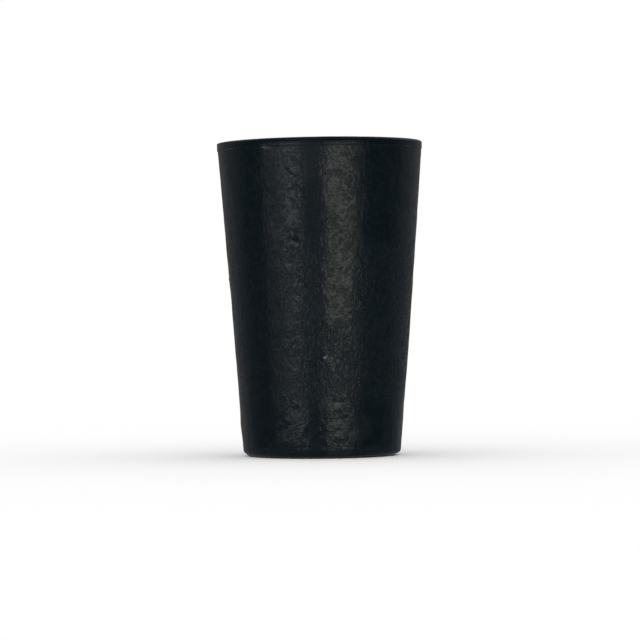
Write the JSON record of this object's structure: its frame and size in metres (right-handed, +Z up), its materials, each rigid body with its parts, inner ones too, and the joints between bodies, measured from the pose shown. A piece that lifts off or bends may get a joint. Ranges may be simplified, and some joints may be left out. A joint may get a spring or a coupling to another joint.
{
  "type": "rubber stopper",
  "caption": "Solid tapered plug of black rubber with flat ends and rounded rims, wedged by hand into a round neck to seal a tube or flask.",
  "frame": {"origin": "centre of the narrow end's flat face, on which the stopper stands", "axes": "+Z up the axis of the taper, from the narrow end to the wide end; X and Y are alike, because the stopper is round"},
  "size_m": [0.0166, 0.0166, 0.0254],
  "materials": {
    "rubber": "satin black, moulded, with a faint leathery grain and patchy bloom"
  },
  "bodies": {
    "root": {"stopper": "rubber"}
  },
  "joints": []
}
